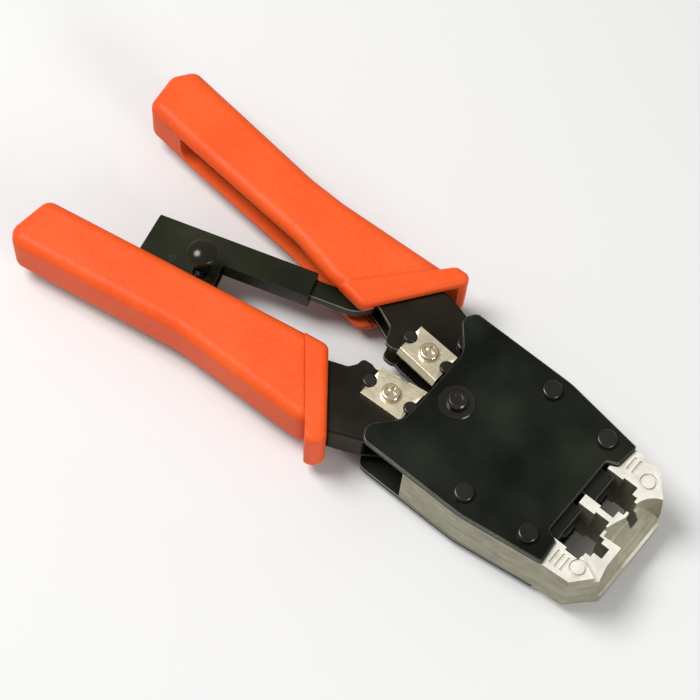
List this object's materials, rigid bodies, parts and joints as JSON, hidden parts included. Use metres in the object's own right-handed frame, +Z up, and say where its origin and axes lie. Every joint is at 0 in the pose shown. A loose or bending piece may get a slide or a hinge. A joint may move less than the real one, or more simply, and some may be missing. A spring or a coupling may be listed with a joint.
{
  "type": "crimping tool",
  "caption": "Ratcheting hand crimping tool: sprung grips drive a ram into modular plugs held in the die nose, with a cutter and stripper at the throat.",
  "frame": {"origin": "centre of the underside of the tool lying on its side", "axes": "+X from the grips to the die nose, +Y from the moving grip to the fixed grip, +Z up through the thickness, the blade side"},
  "size_m": [0.187, 0.0748, 0.0259],
  "materials": {
    "side_plate_top": "black satin enamel on pressed steel",
    "side_plate_bottom": "black satin enamel on pressed steel",
    "fixed_frame": "blackened folded sheet steel",
    "moving_frame": "blackened folded sheet steel",
    "ratchet_sleeve": "blackened folded sheet steel",
    "ratchet_bar": "black oxide steel",
    "pawl": "black oxide steel",
    "pawl_pin": "black oxide steel",
    "bar_pin": "black oxide steel",
    "sleeve_pin": "black oxide steel",
    "fixed_frame_rivets": "black oxide steel",
    "head_rivets": "black oxide steel",
    "pivot_pin": "black oxide steel",
    "pivot_washers": "black oxide steel",
    "pivot_spacers": "black oxide steel",
    "fixed_blade_pins": "black oxide steel",
    "moving_blade_pins": "black oxide steel",
    "ram_block": "black oxide steel",
    "ram_cam": "black oxide steel",
    "pivot_bush": "black oxide steel",
    "release_knob": "polished black oxide",
    "die_body": "pearl-blasted die casting",
    "fixed_blade": "ground tool steel with a warm nickel tint",
    "moving_blade": "ground tool steel with a warm nickel tint",
    "fixed_blade_screw": "bright nickel plate",
    "moving_blade_screw": "bright nickel plate",
    "fixed_blade_nut": "bright nickel plate",
    "moving_blade_nut": "bright nickel plate",
    "fixed_grip": "fine-grained moulded plastic",
    "moving_grip": "fine-grained moulded plastic",
    "contact_punch_8p": "black oxide hardened steel",
    "contact_punch_6p": "black oxide hardened steel",
    "cord_clamp_bars": "black oxide hardened steel",
    "cam_roller": "bright steel",
    "roller_pin": "bright steel",
    "ram_spring": "bright steel",
    "handle_spring": "bright steel",
    "pawl_spring": "bright steel"
  },
  "bodies": {
    "head": {"side_plate_top": "side_plate_top", "side_plate_bottom": "side_plate_bottom", "die_body": "die_body", "head_rivets": "head_rivets", "pivot_pin": "pivot_pin", "pivot_washers": "pivot_washers", "pivot_spacers": "pivot_spacers", "fixed_frame": "fixed_frame", "fixed_frame_rivets": "fixed_frame_rivets", "fixed_grip": "fixed_grip", "fixed_blade": "fixed_blade", "fixed_blade_screw": "fixed_blade_screw", "fixed_blade_nut": "fixed_blade_nut", "fixed_blade_pins": "fixed_blade_pins", "bar_pin": "bar_pin", "ram_spring": "ram_spring", "handle_spring": "handle_spring"},
    "moving_handle": {"moving_frame": "moving_frame", "pivot_bush": "pivot_bush", "ram_cam": "ram_cam", "moving_grip": "moving_grip", "moving_blade": "moving_blade", "moving_blade_screw": "moving_blade_screw", "moving_blade_nut": "moving_blade_nut", "moving_blade_pins": "moving_blade_pins", "sleeve_pin": "sleeve_pin"},
    "ram": {"ram_block": "ram_block", "roller_pin": "roller_pin", "contact_punch_8p": "contact_punch_8p", "contact_punch_6p": "contact_punch_6p", "cord_clamp_bars": "cord_clamp_bars"},
    "roller": {"cam_roller": "cam_roller"},
    "strut_bar": {"ratchet_bar": "ratchet_bar"},
    "strut_sleeve": {"ratchet_sleeve": "ratchet_sleeve", "pawl_pin": "pawl_pin", "pawl_spring": "pawl_spring"},
    "pawl": {"pawl": "pawl", "release_knob": "release_knob"}
  },
  "joints": [
    {"name": "handle_pivot", "type": "hinge", "parent": "head", "child": "moving_handle", "pos_m": [0.0332, 0.00325, 0.0127], "axis": [0, 0, -1], "range_deg": [0, 15], "stiffness_Nm_per_rad": 0.6, "springref_deg": -20.05},
    {"name": "ram_slide", "type": "slide", "parent": "head", "child": "ram", "axis": [1, 0, 0], "range_m": [0, 0.0031]},
    {"name": "bar_hinge", "type": "hinge", "parent": "head", "child": "strut_bar", "pos_m": [-0.0048, 0.01925, 0.0127], "axis": [0, 0, -1], "range_deg": [0, 23.9]},
    {"name": "sleeve_hinge", "type": "hinge", "parent": "moving_handle", "child": "strut_sleeve", "pos_m": [-0.0588, -0.02225, 0.0127], "axis": [0, 0, -1], "range_deg": [0, 8.9]},
    {"name": "pawl_hinge", "type": "hinge", "parent": "strut_sleeve", "child": "pawl", "pos_m": [-0.05565, -0.01132, 0.0127], "axis": [0, 0, -1], "range_deg": [0, 2], "stiffness_Nm_per_rad": 0.02, "springref_deg": -11.46},
    {"name": "roller_spin", "type": "hinge", "parent": "ram", "child": "roller", "pos_m": [0.0487, 0.00325, 0.0127], "axis": [0, 0, 1], "continuous": true}
  ],
  "couplings": [
    {"joint": "ram_slide", "follows": "handle_pivot", "m_per_rad": 0.0115},
    {"joint": "bar_hinge", "follows": "handle_pivot", "ratio": 1.582},
    {"joint": "sleeve_hinge", "follows": "handle_pivot", "ratio": 0.582}
  ]
}
